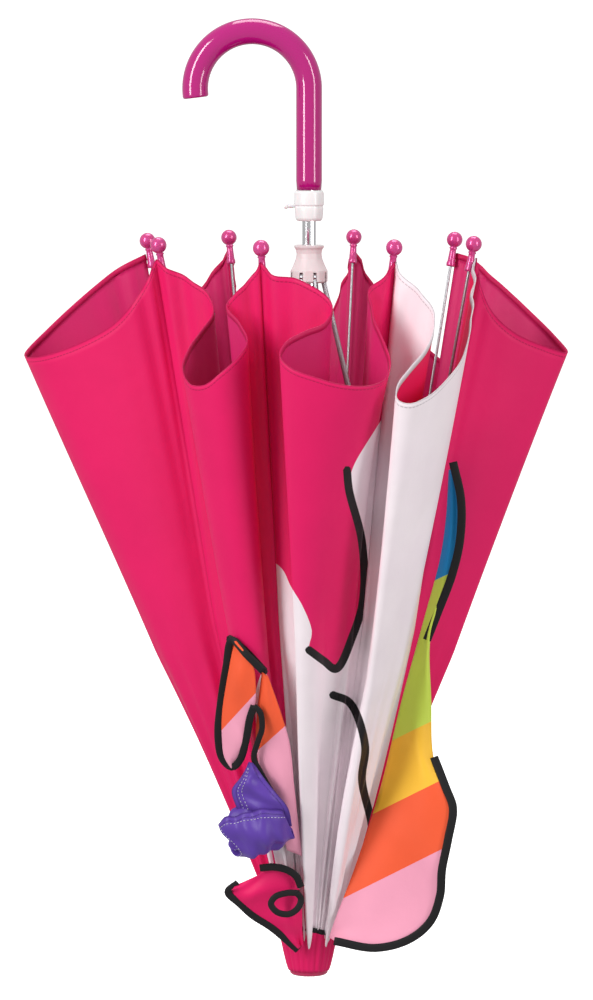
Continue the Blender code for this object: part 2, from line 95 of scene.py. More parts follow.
# View
VIEW_ELEVATION = radians(5)
VIEW_DISTANCE = 3.0
VIEW_LENS, SENSOR_WIDTH = 174.0, 36.0
VIEW_AIM = Vector((-0.00775, 0, 0.2976))
BACK = Vector((0, -cos(VIEW_ELEVATION), sin(VIEW_ELEVATION)))
UP = Vector((0, sin(VIEW_ELEVATION), cos(VIEW_ELEVATION)))
EYE = VIEW_AIM + BACK * VIEW_DISTANCE
FRAME_WIDTH, FRAME_HEIGHT = 593, 1000
STEP = SENSOR_WIDTH / VIEW_LENS / FRAME_HEIGHT  # of one column or row, a metre from the camera
UNIT = STEP * VIEW_DISTANCE  # metres to one column or row at the umbrella

# How far the ribs have swung from rest in each stored shape of the canopy
SWINGS = [radians(a) for a in (-10.4, 0.0, 9.0, 18.0, 28.0, 42.0, 55.6)]
OPEN_HEM_CHORD = 0.262  # a gore's width at the hem when the ribs pull it tight
CLOTH = 0.0005  # how thick the canopy's cloth is drawn

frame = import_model()


# Places


def rib_azimuth(index):
    return FIRST_RIB_AZIMUTH + 2 * pi * index / RIB_COUNT


def radial(azimuth):
    return Vector((cos(azimuth), sin(azimuth), 0))


def at(column, row, y):
    """The point on the plane y that the view shows at this column and row of a 593 x 1000 frame."""
    ray = -BACK + Vector((1, 0, 0)) * (column - FRAME_WIDTH / 2) * STEP + UP * (FRAME_HEIGHT / 2 - row) * STEP
    return EYE + ray * ((y - EYE.y) / ray.y)


def seen_at(points):
    """The view's (column, row) of each point of an (n, 3) array."""
    from_eye = points - np.array(EYE)
    depth = -(from_eye @ np.array(BACK)) * STEP
    rows = FRAME_HEIGHT / 2 - from_eye @ np.array(UP) / depth
    return np.stack((FRAME_WIDTH / 2 + from_eye[:, 0] / depth, rows), axis=1)


def turned(points, pivot, angle):
    """(n, 2) radii and heights, swung outwards about a pivot. The angle may differ from point to point."""
    r, z = points[:, 0] - pivot[0], points[:, 1] - pivot[1]
    c, s = np.cos(angle), np.sin(angle)
    return np.stack((pivot[0] + r * c + z * s, pivot[1] - r * s + z * c), axis=1)


CROWN_PIVOT = (PIVOT_RADIUS, CROWN_RING_Z)
KNEE = (PIVOT_RADIUS + ARM * sin(INNER_TILT), CROWN_RING_Z + ARM * cos(INNER_TILT))


def along_inner(distance):
    return PIVOT_RADIUS + distance * sin(INNER_TILT), CROWN_RING_Z + distance * cos(INNER_TILT)


def along_outer(distance):
    return KNEE[0] + distance * sin(OUTER_TILT), KNEE[1] + distance * cos(OUTER_TILT)


# A rib's bend at its knee is spread between these two places
BEND_START = along_inner(0.12 * ARM)
BEND_END = along_outer(0.80 * RIB_END)
CROWN_HOLD = 0.03  # the share of the way to the hem over which the cloth stays with the tip cap


def bending(points):
    """The share of the knee's turn that each (radius, height) point has taken."""
    span = np.array(BEND_END) - BEND_START
    return np.clip((points - BEND_START) @ span / (span @ span), 0, 1)


def swung(points, swing):
    """Where points of a rib's plane go when the ribs swing."""
    return turned(turned(points, KNEE, bending(points) * FLEX_RATIO * swing), CROWN_PIVOT, swing)


def seam_line(shares, swing=0.0):
    """(n, 2) radii and heights of the canopy's seam over a rib, from the tip cap (0) to the hem (1)."""
    end = along_outer(RIB_END - HEM_SHORT_OF_BALL)
    stops = [(0.0, 0.0130, 0.0045), (CROWN_HOLD, 0.0150, CROWN_RING_Z),
             (0.5, KNEE[0] + KNEE_STAND_OFF, KNEE[1]), (1.0, end[0] + TIP_STAND_OFF, end[1])]
    places, radii, heights = zip(*stops)
    points = np.stack((np.interp(shares, places, radii), np.interp(shares, places, heights)), axis=1)
    hold = np.clip((np.asarray(shares) - CROWN_HOLD) / 0.02, 0, 1)[:, None]
    return points + (swung(points, swing) - points) * hold


def about_axis(plane_points, azimuths):
    """(n, 3) points from (radius, height) pairs and an azimuth each."""
    r, z = plane_points[:, 0], plane_points[:, 1]
    return np.stack((r * np.cos(azimuths), r * np.sin(azimuths), z), axis=1)


def smooth_through(points, steps):
    """Points evenly spaced along a centripetal Catmull-Rom curve through these, as an array."""
    given = np.array([tuple(p) for p in points], float)
    ends = np.vstack((2 * given[0] - given[1], given, 2 * given[-1] - given[-2]))

    def between(a, b, start, end, t):
        return a + (b - a) * (t - start) / (end - start)

    fine = []
    for p0, p1, p2, p3 in zip(ends, ends[1:], ends[2:], ends[3:]):
        t0 = 0.0
        t1 = t0 + max(np.linalg.norm((p1 - p0)[:3]), 1e-9) ** 0.5
        t2 = t1 + max(np.linalg.norm((p2 - p1)[:3]), 1e-9) ** 0.5
        t3 = t2 + max(np.linalg.norm((p3 - p2)[:3]), 1e-9) ** 0.5
        for t in np.linspace(t1, t2, 24, endpoint=False):
            a1, a2, a3 = between(p0, p1, t0, t1, t), between(p1, p2, t1, t2, t), between(p2, p3, t2, t3, t)
            fine.append(between(between(a1, a2, t0, t2, t), between(a2, a3, t1, t3, t), t1, t2, t))
    fine = np.array(fine + [ends[-2]])
    length = np.concatenate(([0], np.cumsum(np.linalg.norm(np.diff(fine[:, :3], axis=0), axis=1))))
    wanted = np.linspace(0, length[-1], steps)
    return np.stack([np.interp(wanted, length, fine[:, k]) for k in range(given.shape[1])], axis=1)


# Meshes


def placed(points):
    return np.asarray(points, float).reshape(-1, 3) + np.array(ORIGIN)


def add_piece(name, points, faces, *looks):
    mesh = bpy.data.meshes.new(name)
    mesh.from_pydata([tuple(p) for p in placed(points)], [], [tuple(f) for f in faces])
    for look in looks:
        mesh.materials.append(LOOKS[look])
    mesh.validate()
    mesh.shade_smooth()
    piece = bpy.data.objects.new(name, mesh)
    bpy.context.scene.collection.objects.link(piece)
    return piece


def belongs(piece, slot, body=None, *replaced):
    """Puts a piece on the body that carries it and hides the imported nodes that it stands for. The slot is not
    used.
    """
    if replaced:
        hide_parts(*replaced)
    if body:
        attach(piece, body)


def grid_faces(rows, columns, closed=False):
    faces = []
    for r in range(rows - 1):
        for c in range(columns if closed else columns - 1):
            d = (c + 1) % columns
            faces.append((r * columns + c, r * columns + d, (r + 1) * columns + d, (r + 1) * columns + c))
    return faces


def store(piece, name, values):
    """Keeps a number or a vector for each vertex."""
    values = np.asarray(values, np.float32)
    kind, key = ("FLOAT_VECTOR", "vector") if values.ndim == 2 else ("FLOAT", "value")
    piece.data.attributes.new(name, kind, "POINT").data.foreach_set(key, values.ravel())


def store_cloth(piece, across, along, hem=0.02):
    """Keeps each vertex's distance across its cloth, along it and from its hem."""
    store(piece, "cloth", np.stack(np.broadcast_arrays(across, along, hem), axis=-1).reshape(-1, 3))


def lathe(profile, segments, matrix=None):
    """(points, faces) of a shape turned about Z from (radius, z) points. Points on the axis close it."""
    points, rows = [], []
    for radius, z in profile:
        if radius == 0:
            rows.append([len(points)] * segments)
            points.append((0, 0, z))
        else:
            rows.append(list(range(len(points), len(points) + segments)))
            points += [(radius * cos(2 * pi * s / segments), radius * sin(2 * pi * s / segments), z)
                       for s in range(segments)]
    faces = []
    for low, high in zip(rows, rows[1:]):
        for s in range(segments):
            t = (s + 1) % segments
            face = [low[s], low[t], high[t], high[s]]
            face = [v for k, v in enumerate(face) if v != face[k - 1]]
            if len(face) > 2:
                faces.append(face)
    if matrix is not None:
        points = [matrix @ Vector(p) for p in points]
    return points, faces


def rounded(profile, radius):
    """A (radius, z) profile with its corners rounded off."""
    made = [profile[0]]
    for before, corner, after in zip(profile, profile[1:], profile[2:]):
        a, b, c = Vector(before), Vector(corner), Vector(after)
        back, on = min(radius, (a - b).length / 2.2), min(radius, (c - b).length / 2.2)
        start, end = b + (a - b).normalized() * back, b + (c - b).normalized() * on
        for t in (0, 0.25, 0.5, 0.75, 1):
            made.append(tuple(start * (1 - t) ** 2 + b * 2 * t * (1 - t) + end * t**2))
    return made + [profile[-1]]


def tube(path, section, across=None, closed_ends=True):
    """(points, faces) of a tube along a path. section(row) gives the outline as (sideways, outwards) pairs."""
    path = [Vector(p) for p in path]
    points, count = [], len(section(0))
    normal = None
    for row, centre in enumerate(path):
        tangent = (path[min(row + 1, len(path) - 1)] - path[max(row - 1, 0)]).normalized()
        guide = across[row] if across is not None else (normal or tangent.orthogonal())
        side = (guide - tangent * guide.dot(tangent)).normalized()
        normal = side
        out = tangent.cross(side)
        points += [centre + side * a + out * b for a, b in section(row)]
    faces = grid_faces(len(path), count, closed=True)
    if closed_ends:
        faces += [list(range(count))[::-1], list(range(len(points) - count, len(points)))]
    return points, faces


def ellipse(a, b, sides):
    return [(a * cos(2 * pi * s / sides), b * sin(2 * pi * s / sides)) for s in range(sides)]


def joined(shapes):
    points, faces = [], []
    for more, sides in shapes:
        faces += [[v + len(points) for v in f] for f in sides]
        points += list(more)
    return points, faces


# Materials

THREAD_PITCH = 0.0007
STITCH_PITCH = 0.0024
STITCH_INSET = 0.0034  # of a hem's stitches from its edge
HEM_DEPTH = 0.0036
PIPING_HALF_WIDTH = 0.0025


class Nodes:
    """A node tree, built a node at a time."""

    def __init__(self, tree):
        self.tree = tree

    def add(self, kind, inputs=None, **settings):
        node = self.tree.nodes.new(kind)
        for key, value in settings.items():
            setattr(node, key, value)
        for key, value in (inputs or {}).items():
            self.put(node.inputs[key], value)
        return node

    def put(self, socket, value):
        if isinstance(value, bpy.types.NodeSocket):
            self.tree.links.new(value, socket)
        elif isinstance(value, (tuple, list)) and len(value) == 3 and len(socket.default_value) == 4:
            socket.default_value = (*value, 1.0)
        else:
            socket.default_value = value

    def math(self, operation, *values, clamp=False):
        node = self.add("ShaderNodeMath", operation=operation, use_clamp=clamp)
        for socket, value in zip(node.inputs, values):
            self.put(socket, value)
        return node.outputs[0]

    def mix(self, share, low, high):
        return self.add("ShaderNodeMix", {0: share, 6: low, 7: high}, data_type="RGBA").outputs[2]

    def attribute(self, name, output="Fac"):
        return self.add("ShaderNodeAttribute", attribute_name=name).outputs[output]

    def noise(self, scale, detail=3.0, rough=0.5, vector=None):
        node = self.add("ShaderNodeTexNoise", {"Scale": scale, "Detail": detail, "Roughness": rough})
        self.put(node.inputs["Vector"], vector or self.add("ShaderNodeTexCoord").outputs["Object"])
        return node.outputs["Fac"]

    def ramp(self, value, low, high):
        node = self.add("ShaderNodeMapRange")
        for socket, number in zip(node.inputs[:5], (value, 0.0, 1.0, low, high)):
            self.put(socket, number)
        return node.outputs[0]

    def step(self, value, edge, softness=0.00012):
        """0 below the edge and 1 above it."""
        return self.math("DIVIDE", self.math("SUBTRACT", value, edge - softness), 2 * softness, clamp=True)

    def bump(self, height, strength, distance=0.001, normal=None):
        node = self.add("ShaderNodeBump", {"Strength": strength, "Distance": distance, "Height": height})
        if normal is not None:
            self.put(node.inputs["Normal"], normal)
        return node.outputs["Normal"]


class Look(Nodes):
    """A material's nodes."""

    def __init__(self, name):
        self.material = bpy.data.materials.new(name)
        self.material.use_nodes = True
        super().__init__(self.material.node_tree)

    def set(self, **values):
        for key, value in values.items():
            self.put(self.tree.nodes["Principled BSDF"].inputs[key.replace("_", " ")], value)


def plastic(name, colour, roughness, coat, variation=0.06, grain=0.10, subsurface=0.0):
    n = Look(name)
    cloud = n.noise(60.0, 4.0)
    darker = tuple(c * (1 - variation) for c in colour)
    n.set(Base_Color=n.mix(cloud, darker, colour))
    n.set(Roughness=n.ramp(n.noise(120.0, 3.0, 0.5), roughness * 0.85, roughness * 1.15))
    n.set(Coat_Weight=coat, Coat_Roughness=0.05, Subsurface_Weight=subsurface, Subsurface_Scale=0.003)
    if subsurface:
        n.set(Subsurface_Radius=(1.0, 0.5, 0.6))
    if grain:
        n.set(Normal=n.bump(n.noise(900.0, 2.0), grain, 0.0002))
    return n.material


def pearl(name, colour, edge):
    n = Look(name)
    n.set(Base_Color=n.mix(n.noise(300.0, 3.0), tuple(c * 0.9 for c in colour), colour))
    n.set(Sheen_Weight=0.45, Sheen_Roughness=0.35, Sheen_Tint=(*edge, 1.0))
    n.set(Roughness=n.ramp(n.noise(700.0), 0.20, 0.30), Metallic=0.25, Coat_Weight=0.6, Coat_Roughness=0.08)
    n.set(Subsurface_Weight=0.15, Subsurface_Scale=0.002)
    return n.material


def metal(name, colour, roughness, along_z=True, scratch=0.15):
    """Drawn metal: fine streaks along its length."""
    n = Look(name)
    place = n.add("ShaderNodeTexCoord").outputs["Object"]
    stretch = (900.0, 900.0, 30.0) if along_z else (500.0, 500.0, 500.0)
    mapping = n.add("ShaderNodeMapping", {"Vector": place, "Scale": stretch})
    streaks = n.noise(1.0, 3.0, 0.6, mapping.outputs[0])
    n.set(Base_Color=n.mix(n.noise(80.0), tuple(c * 0.86 for c in colour), colour), Metallic=1.0)
    n.set(Roughness=n.ramp(streaks, roughness * 0.7, roughness * 1.6))
    n.set(Normal=n.bump(streaks, scratch, 0.0001))
    return n.material


PINK = (0.780, 0.009, 0.125)
# A darker copy of PINK for the canopy's underside: painted shade.
SHADED_INSIDE_PINK = (0.640, 0.018, 0.140)
WHITE = (0.97, 0.880, 0.905)
# The lilac of the white cloth in shade, mixed into the white panel as painted shade.
LILAC_SHADE = (0.80, 0.62, 0.76)
BLACK = (0.012, 0.011, 0.012)
ORANGE = (0.92, 0.115, 0.040)
YELLOW = (0.97, 0.540, 0.045)
GREEN = (0.600, 0.740, 0.090)
BLUE = (0.010, 0.250, 0.560)
LIGHT_PINK = (0.91, 0.370, 0.510)
PURPLE = (0.115, 0.052, 0.365)
MAGENTA = (0.470, 0.006, 0.185)


def cloth_finish(n, colour, tint, roughness=0.52, sheen=0.05, hem=True):
    """The woven satin's surface over a colour, with painted shade along its hem's fold and darker stitches where the
    piece has one.

    The attribute "cloth" holds each point's distance across, distance along and distance from the hem.
    """
    cloth = n.add("ShaderNodeSeparateXYZ", {"Vector": n.attribute("cloth", "Vector")}).outputs
    warp = n.math("SINE", n.math("MULTIPLY", cloth[0], 2 * pi / THREAD_PITCH))
    weft = n.math("SINE", n.math("MULTIPLY", cloth[1], 2 * pi / THREAD_PITCH))
    weave = n.math("ADD", n.math("MULTIPLY", n.math("MULTIPLY", warp, weft), 0.5), n.math("MULTIPLY", weft, 0.25))
    brightness = n.ramp(n.noise(16.0, 4.0, 0.55), 0.86, 1.08)
    normal = n.bump(n.noise(55.0, 4.0, 0.6), 0.30, 0.0012)
    if hem:
        line = n.math("ABSOLUTE", n.math("SUBTRACT", cloth[2], STITCH_INSET))
        dash = n.step(n.math("FRACT", n.math("DIVIDE", cloth[0], STITCH_PITCH)), 0.24, 0.06)
        stitch = n.math("MULTIPLY", n.math("SUBTRACT", 1.0, n.step(line, 0.00032, 0.00012)), dash)
        # Painted shade: the cloth is darkened over the last 0.9 mm at the hem's fold; the stitches are drawn as
        # darker dashes.
        fold = n.math("SUBTRACT", 1.0, n.step(cloth[2], 0.0009, 0.0004))
        shade = n.math("ADD", n.math("MULTIPLY", stitch, 0.35), n.math("MULTIPLY", fold, 0.30))
        brightness = n.math("MULTIPLY", brightness, n.math("SUBTRACT", 1.0, shade))
        normal = n.bump(n.math("MULTIPLY", stitch, -1.0), 0.5, 0.0006, normal)
    normal = n.bump(weave, 0.10, 0.00015, normal)
    varied = n.add("ShaderNodeHueSaturation", {"Value": brightness, "Color": colour}).outputs[0]
    n.set(Base_Color=varied, Normal=normal, Sheen_Weight=sheen, Sheen_Roughness=0.4)
    n.set(Sheen_Tint=(*tint, 1.0), Specular_IOR_Level=0.22)
    n.set(Roughness=n.ramp(n.noise(140.0, 3.0), roughness * 0.88, roughness * 1.12))
    return n.material


def plain_cloth(name, colour, **finish):
    return cloth_finish(Look(name), colour, tuple(0.4 + 0.6 * c for c in colour), **finish)


def panel_cloth(name):
    """Pink cloth with a white panel, blotched with painted lilac shade, and lines of black piping.

    The attribute "panel" is how far outside the pink area a point lies, in metres, and "piping" how far from a line.
    """
    n = Look(name)
    # Painted shade: soft patches of the lilac shade colour mixed into the white at random, up to a third.
    white = n.mix(n.ramp(n.noise(30.0), 0.0, 0.35), WHITE, LILAC_SHADE)
    colour = n.mix(n.step(n.attribute("panel"), 0.0), PINK, white)
    colour = n.mix(n.step(n.attribute("piping"), PIPING_HALF_WIDTH), BLACK, colour)
    return cloth_finish(n, colour, (1.0, 0.7, 0.8))


def banded_cloth(name):
    """Cloth in five plain bands. The attribute "band" runs from 0 at the top to 1 at the foot."""
    n = Look(name)
    ramp = n.add("ShaderNodeValToRGB", {"Fac": n.attribute("band")})
    ramp.color_ramp.interpolation = "CONSTANT"
    stops = ramp.color_ramp.elements
    stops[0].position, stops[0].color = 0.0, (*BLUE, 1)
    stops[1].position, stops[1].color = 0.229, (*GREEN, 1)
    for place, colour in ((0.519, YELLOW), (0.65, ORANGE), (0.796, LIGHT_PINK)):
        stops.new(place).color = (*colour, 1)
    return cloth_finish(n, ramp.outputs["Color"], (0.85, 0.8, 0.8), hem=False)


LOOKS = {
    "handle": plastic("handle_gloss", MAGENTA, 0.12, 0.5, grain=0.0),
    "white": plastic("white_plastic", (0.90, 0.89, 0.89), 0.30, 0.20, 0.03, 0.05, 0.1),
    "button": plastic("button_plastic", (0.90, 0.89, 0.90), 0.25, 0.3, 0.03, 0.04, 0.5),
    "pale": plastic("pale_plastic", (0.80, 0.69, 0.70), 0.38, 0.12, 0.05, 0.08, 0.15),
    "pearl": pearl("pearl_plastic", (0.69, 0.055, 0.265), (0.86, 0.25, 0.46)),
    "chrome": metal("chromed_shaft", (0.90, 0.90, 0.92), 0.08, scratch=0.03),
    "steel": metal("steel_wire", (0.44, 0.44, 0.46), 0.34, along_z=False, scratch=0.0),
    "pink": plain_cloth("pink_fabric", PINK),
    "inside": plain_cloth("pink_fabric_inside_shaded", SHADED_INSIDE_PINK),
    "white_inside": plain_cloth("white_fabric_inside", (0.78, 0.010, 0.090)),
    "panel": panel_cloth("panel_fabric"),
    "bands": banded_cloth("rainbow_fabric"),
    "purple": plain_cloth("purple_fabric", PURPLE, roughness=0.36, sheen=0.10),
    "binding": plain_cloth("black_binding", BLACK, roughness=0.6, sheen=0.10, hem=False),
    "thread": plastic("white_thread", (0.62, 0.58, 0.70), 0.6, 0.0),
    "hot_pink": plain_cloth("hot_pink_fabric", PINK, hem=False),
    "cap": plastic("cap_plastic", (0.50, 0.008, 0.085), 0.3, 0.3),
}


# How the canopy follows the ribs


def morph_tree():
    """Node group that moves each point between the stored shapes as rib 1 swings."""
    tree = bpy.data.node_groups.new("follow_ribs", "GeometryNodeTree")
    for way in ("INPUT", "OUTPUT"):
        tree.interface.new_socket("Geometry", in_out=way, socket_type="NodeSocketGeometry")
    n = Nodes(tree)

    def body(name, space):
        info = n.add("GeometryNodeObjectInfo", {"Object": frame["bodies"][name]}, transform_space=space)
        return info.outputs["Transform"]

    def stored(number):
        kept = n.add("GeometryNodeInputNamedAttribute", {"Name": f"shape_{number}"}, data_type="FLOAT_VECTOR")
        return kept.outputs["Attribute"]

    rib = body("rib_inner_1", "ORIGINAL")
    upright = n.add("FunctionNodeTransformDirection", {"Direction": (0, 0, 1), "Transform": rib}).outputs[0]
    outwards = n.add("ShaderNodeVectorMath", {0: upright, 1: radial(rib_azimuth(0))}, operation="DOT_PRODUCT")
    height = n.add("ShaderNodeSeparateXYZ", {0: upright}).outputs["Z"]
    swing = n.math("ARCTAN2", outwards.outputs["Value"], height)
    place = stored(0)
    for number, (low, high) in enumerate(zip(SWINGS, SWINGS[1:]), 1):
        share = n.add("ShaderNodeMapRange", {"Value": swing, "From Min": low, "From Max": high}).outputs[0]
        place = n.add("ShaderNodeMix", {0: share, 4: place, 5: stored(number)}, data_type="VECTOR").outputs[1]
    local = n.add("FunctionNodeTransformPoint", {"Vector": place, "Transform": body("frame", "RELATIVE")})
    given = n.add("NodeGroupInput").outputs[0]
    moved = n.add("GeometryNodeSetPosition", {"Geometry": given, "Position": local.outputs[0]})
    n.add("NodeGroupOutput", {0: moved.outputs[0]})
    return tree


FOLLOW_RIBS = morph_tree()


def follow_ribs(piece, shapes):
    """Gives a piece the shapes that it takes at each of SWINGS, as (n, 3) arrays about the umbrella's axis."""
    for number, shape in enumerate(shapes):
        store(piece, f"shape_{number}", placed(shape))
    piece.modifiers.new("follow_ribs", "NODES").node_group = FOLLOW_RIBS


def thicken(piece, thickness, offset=-1.0, other_side=0):
    solid = piece.modifiers.new("thickness", "SOLIDIFY")
    solid.thickness, solid.offset = thickness, offset
    solid.material_offset = other_side


# Canopy

FRONT_GORES = (4, 5, 6)
HUG = 1.2
# Each gore's hem between its two ribs' seams. Back gores: (radius, degrees past the first rib, height).
BACK_HEMS = {
    0: ((0.116, 5, 0.432), (0.130, 10, 0.410), (0.150, 17, 0.385), (0.160, 24, 0.372), (0.146, 31, 0.388),
        (0.124, 37, 0.412), (0.113, 41, 0.432)),
    1: ((0.118, 5, 0.430), (0.133, 9, 0.408), (0.153, 16, 0.386), (0.162, 22, 0.376), (0.150, 30, 0.388),
        (0.131, 36, 0.408), (0.115, 41, 0.432)),
    2: ((0.114, 4, 0.434), (0.128, 9, 0.412), (0.150, 15, 0.386), (0.160, 21, 0.374), (0.148, 29, 0.388),
        (0.128, 36, 0.412), (0.114, 41, 0.433)),
}
# Front gores: (column, row, y in mm, and how closely the fold hugs the ribs below where it isn't HUG).
FRONT_HEMS = {
    3: ((118, 268, 27), (90, 290, 22), (48, 328, 12), (24, 354, -1), (40, 356, -20), (80, 343, -38),
        (116, 322, -48), (140, 292, -52)),
    4: ((172, 270, -56), (190, 280, -62), (206, 293, -68), (213, 311, -74), (202, 330, -84), (189, 348, -96),
        (181, 368, -107), (188, 384, -116, 1.15), (204, 385, -123, 1.1), (220, 373, -127, 1.1),
        (238, 356, -125, 1.1), (247, 340, -119, 1.15), (240, 322, -112, 1.3), (229, 306, -107, 1.5),
        (236, 292, -105, 1.5), (248, 282, -104, 1.3)),
    5: ((272, 274, -106), (296, 279, -110), (320, 290, -114), (333, 306, -119), (326, 322, -126),
        (304, 331, -134, 1.15), (284, 342, -142, 1.1), (278, 356, -149, 1.0), (290, 368, -155, 1.05),
        (315, 377, -157, 1.3), (342, 384, -155, 1.7), (370, 385, -149, 2.1), (387, 378, -141, 2.3),
        (392, 361, -131, 2.2), (384, 338, -120, 1.9), (372, 310, -110, 1.6), (370, 290, -103, 1.4),
        (380, 278, -98)),
    6: ((406, 279, -98), (420, 290, -103), (431, 306, -110), (433, 326, -119), (425, 347, -128),
        (409, 368, -137), (398, 385, -144, 1.1), (398, 399, -149, 1.05), (409, 403, -149, 1.05),
        (428, 396, -142, 1.1), (447, 381, -127, 1.15), (462, 362, -107), (468, 340, -87), (471, 318, -67),
        (474, 296, -49), (475, 279, -38)),
    7: ((480, 282, -31), (492, 311, -29), (514, 332, -23), (542, 345, -12), (568, 352, 1), (556, 336, 13),
        (524, 305, 26), (490, 274, 41), (472, 258, 49)),
}
# The lower edge of the pink cloth on gores 5 and 6 (columns and rows), and the lines of black piping
PINK_AREAS = {
    4: ((120, 200), (330, 200), (330, 400), (330, 540), (286, 560), (281, 600), (289, 732), (276, 700),
        (264, 671), (256, 690), (248, 800), (120, 800)),
    5: ((240, 200), (420, 200), (400, 380), (352, 470), (349, 490), (362, 542), (363, 600), (353, 635), (336, 669),
        (324, 661), (309, 650), (312, 632), (303, 607), (290, 585), (283, 570), (270, 560), (200, 545)),
}
PIPING = {
    4: ((230, 639), (244, 650), (264, 671)),
    5: ((347, 470), (349, 490), (362, 542), (363, 600), (353, 635), (336, 669), (324, 661), (309, 650)),
    6: ((333, 695), (350, 703), (365, 745), (362, 780), (372, 830), (366, 870), (345, 905)),
}


def rounded_line(points):
    return [tuple(p) for p in smooth_through([(*p, 0) for p in points], 160)[:, :2]]


def in_polygon(points, outline):
    inside = np.zeros(len(points), bool)
    for (ax, ay), (bx, by) in zip(outline, outline[1:] + outline[:1]):
        crosses = (ay > points[:, 1]) != (by > points[:, 1])
        with np.errstate(divide="ignore", invalid="ignore"):
            meeting = ax + (points[:, 1] - ay) * (bx - ax) / (by - ay)
        inside ^= crosses & (points[:, 0] < meeting)
    return inside


def distance_to(points, line):
    nearest = np.full(len(points), 1e9)
    for a, b in zip(np.array(line[:-1], float), np.array(line[1:], float)):
        share = np.clip((points - a) @ (b - a) / max((b - a) @ (b - a), 1e-9), 0, 1)[:, None]
        nearest = np.minimum(nearest, np.linalg.norm(points - a - share * (b - a), axis=1))
    return nearest


class Gore:
    """One panel of the canopy between two ribs, as a function of the ribs' swing."""

    def __init__(self, index, columns, rows):
        self.index, self.columns, self.rows = index, columns, rows
        self.random = np.random.default_rng(40 + index)
        ends = about_axis(seam_line([1.0, 1.0]), np.array([rib_azimuth(index), rib_azimuth(index + 1)]))
        if index in BACK_HEMS:
            middle = [(*(radial(rib_azimuth(index) + radians(past)) * r)[:2], z, HUG)
                      for r, past, z in BACK_HEMS[index]]
        else:
            middle = [(*at(column, row, y / 1000), *(hug or [HUG])) for column, row, y, *hug in FRONT_HEMS[index]]
        hem = smooth_through([(*ends[0], HUG), *middle, (*ends[1], HUG)], columns)
        self.across = np.linspace(0, 1, columns)
        self.hug = hem[:, 3]
        self.offset = hem[:, :3] - (ends[0] + (ends[1] - ends[0]) * self.across[:, None])
        self.width = np.linalg.norm(np.diff(hem[:, :3], axis=0), axis=1).sum()
        self.along = np.linspace(0, 1, rows) ** 0.92
        self.phase = self.random.uniform(0, 2 * pi, 8)

    def slack(self, swing):
        """How much of the resting fold is left: 1 at rest, 0 when the ribs pull the cloth tight."""
        def chord(angle):
            return 2 * seam_line([1.0], angle)[0, 0] * sin(pi / RIB_COUNT)
        room = OPEN_HEM_CHORD**2 - chord(0.0) ** 2
        return sqrt(max(0.0, OPEN_HEM_CHORD**2 - chord(swing) ** 2) / room)

    def shape(self, swing):
        slack = min(self.slack(swing), 1.02)
        across, along = np.meshgrid(self.across, self.along)
        scallop = 1 - 0.085 * (1 - min(slack, 1)) * 4 * across * (1 - across) * along**3
        shares = (along * scallop).ravel()
        line = seam_line(shares, swing)
        first = about_axis(line, np.full(len(line), rib_azimuth(self.index)))
        second = about_axis(line, np.full(len(line), rib_azimuth(self.index + 1)))
        flat = across.ravel()[:, None]
        points = first + (second - first) * flat
        turn = Matrix.Rotation(0.75 * swing, 3, radial(rib_azimuth(self.index + 0.5) + pi / 2))
        offset = self.offset @ np.array(turn).T * slack
        points = points.reshape(self.rows, self.columns, 3)
        points = points + offset[None] * (along**self.hug[None])[..., None]
        # Cloth between open ribs bellies out a little
        belly = (1 - min(slack, 1)) * 0.010 * np.sin(pi * across) * np.sin(pi * np.clip(along, 0, 1) ** 0.8)
        normal = self.normals(points)
        points = points + normal * (belly + self.creases(across, along) * (0.2 + 0.8 * slack))[..., None]
        return self.with_hem(points)

    def normals(self, points):
        by_column = np.gradient(points, axis=1)
        by_row = np.gradient(points, axis=0)
        normal = np.cross(by_column, by_row)
        return normal / np.maximum(np.linalg.norm(normal, axis=2, keepdims=True), 1e-12)

    def creases(self, across, along):
        """Pleats above the tip cap, gathers under the ball tips and slack waves between."""
        a, b, c, d, e, f, g, h = self.phase
        low = np.exp(-(((along - 0.26) / 0.22) ** 2))
        depth = 0.0046 if self.index in FRONT_GORES else 0.0028
        wander = 0.9 * np.sin(3.2 * along + b) + 0.5 * np.sin(7.0 * along + h)
        pleats = depth * low * (np.abs(np.sin(pi * 3.6 * across + a + wander)) ** 0.75 - 0.62)
        pleats = pleats + 0.0012 * low * np.sin(2 * pi * 7.3 * across + c + 1.4 * wander)
        waves = 0.0016 * along * (1 - along) * 4 * np.sin(2 * pi * (1.6 * across + 0.5 * along) + d)
        waves = waves + 0.0008 * along * np.sin(2 * pi * (2.7 * across - 0.8 * along) + e)
        gathers = 0
        for side, turn in ((across, f), (1 - across, g)):
            near = np.exp(-((side / 0.13) ** 2)) * np.clip((along - 0.55) / 0.45, 0, 1) ** 1.3
            gathers = gathers + 0.0019 * near * np.sin(2 * pi * 11 * side + turn)
        edge = np.clip(np.minimum(across, 1 - across) / 0.03, 0, 1)
        return (pleats + waves + gathers) * edge * np.clip(along / 0.08, 0, 1)

    def with_hem(self, points):
        """The cloth folded back inside along its hem."""
        normal = self.normals(points)
        down = points[-2] - points[-1]
        down = down / np.linalg.norm(down, axis=1, keepdims=True)
        fold = points[-1] - normal[-1] * 0.0007 + down * 0.0002
        inside = points[-1] - normal[-1] * 0.0009 + down * HEM_DEPTH
        return np.concatenate((points.reshape(-1, 3), fold, inside))

    def cloth(self):
        """Distance across, distance along and distance from the hem, for every vertex."""
        across, along = np.meshgrid(self.across, self.along)
        length = ARM + RIB_END
        width = self.width * (0.06 + 0.94 * along)
        grid = np.stack(((across - 0.5) * width, along * length, (1 - along) * length), axis=2).reshape(-1, 3)
        return np.concatenate((grid, grid[-self.columns:], grid[-self.columns:]))


